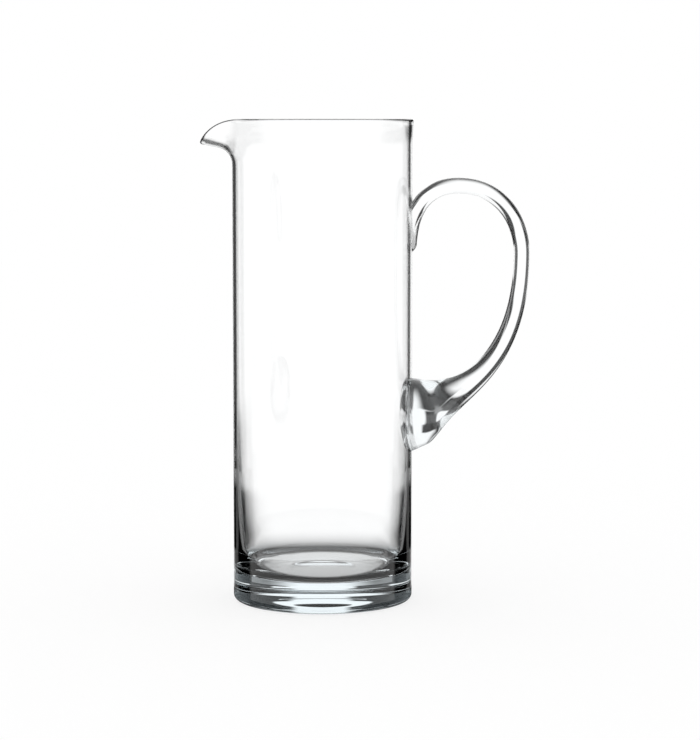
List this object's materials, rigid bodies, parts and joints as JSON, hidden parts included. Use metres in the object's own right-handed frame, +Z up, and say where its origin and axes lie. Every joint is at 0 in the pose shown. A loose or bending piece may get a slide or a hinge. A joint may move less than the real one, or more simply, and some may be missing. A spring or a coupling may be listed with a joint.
{
  "type": "glass pitcher",
  "caption": "Straight clear glass pitcher with a heavy base, a pulled pouring lip and a solid looped handle fused to its wall.",
  "frame": {"origin": "on the table, under the middle of the whole outline, which is on the flat ring under the base", "axes": "+Z up, +X towards the handle, so the pouring lip points along -X"},
  "size_m": [0.1768, 0.0982, 0.26],
  "materials": {
    "clear_glass": "clear, fire polished"
  },
  "bodies": {
    "root": {"vessel": "clear_glass", "handle": "clear_glass"}
  },
  "joints": []
}
